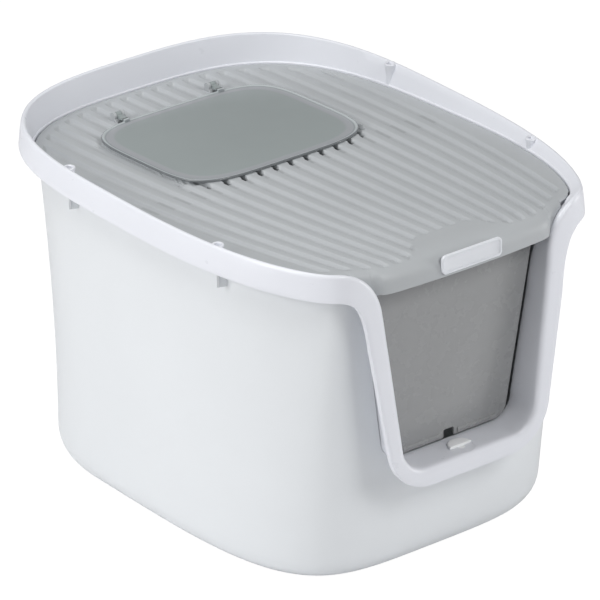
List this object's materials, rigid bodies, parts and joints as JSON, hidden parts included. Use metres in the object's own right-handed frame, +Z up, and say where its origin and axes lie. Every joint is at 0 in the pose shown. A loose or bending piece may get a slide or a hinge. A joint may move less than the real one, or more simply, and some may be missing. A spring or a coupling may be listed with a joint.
{
  "type": "top entry litter box",
  "caption": "Tapered white plastic litter box with a ribbed grey lid, a hinged top flap over the entry hole and a swinging front door with a turn button.",
  "frame": {"origin": "middle of the footprint, on the floor", "axes": "+Z up, -Y towards the front door, +X to the right of someone who faces the front"},
  "size_m": [0.4074, 0.5298, 0.34],
  "materials": {
    "tub_white": "satin moulded",
    "rim_white": "satin moulded",
    "lid_grey": "satin moulded",
    "badge_white": "satin moulded",
    "flap_smoke": "translucent smoke, polished",
    "door_smoke": "translucent smoke, polished",
    "latch_white": "satin moulded",
    "steel": "zinc plated"
  },
  "bodies": {
    "tub": {"tub": "tub_white", "rim_frame": "rim_white", "rim_screws": "steel"},
    "lid": {"lid": "lid_grey", "badge_plate": "badge_white", "flap_pin_left": "steel", "flap_pin_right": "steel"},
    "flap": {"top_flap": "flap_smoke"},
    "door": {"front_door": "door_smoke"},
    "latch": {"door_latch": "latch_white"}
  },
  "joints": [
    {"name": "lid_lift", "type": "slide", "parent": "tub", "child": "lid", "axis": [0, 0, 1], "range_m": [0, 0.12]},
    {"name": "flap_hinge", "type": "hinge", "parent": "lid", "child": "flap", "pos_m": [0, 0.2, 0.3166], "axis": [-1, 0, 0], "range_deg": [0, 105]},
    {"name": "door_swing", "type": "hinge", "parent": "tub", "child": "door", "pos_m": [0, -0.2295, 0.302], "axis": [1, 0, 0], "range_deg": [-75, 80]},
    {"name": "latch_turn", "type": "hinge", "parent": "tub", "child": "latch", "pos_m": [0, -0.2485, 0.1235], "axis": [0, 0, 1], "range_deg": [0, 180]}
  ]
}
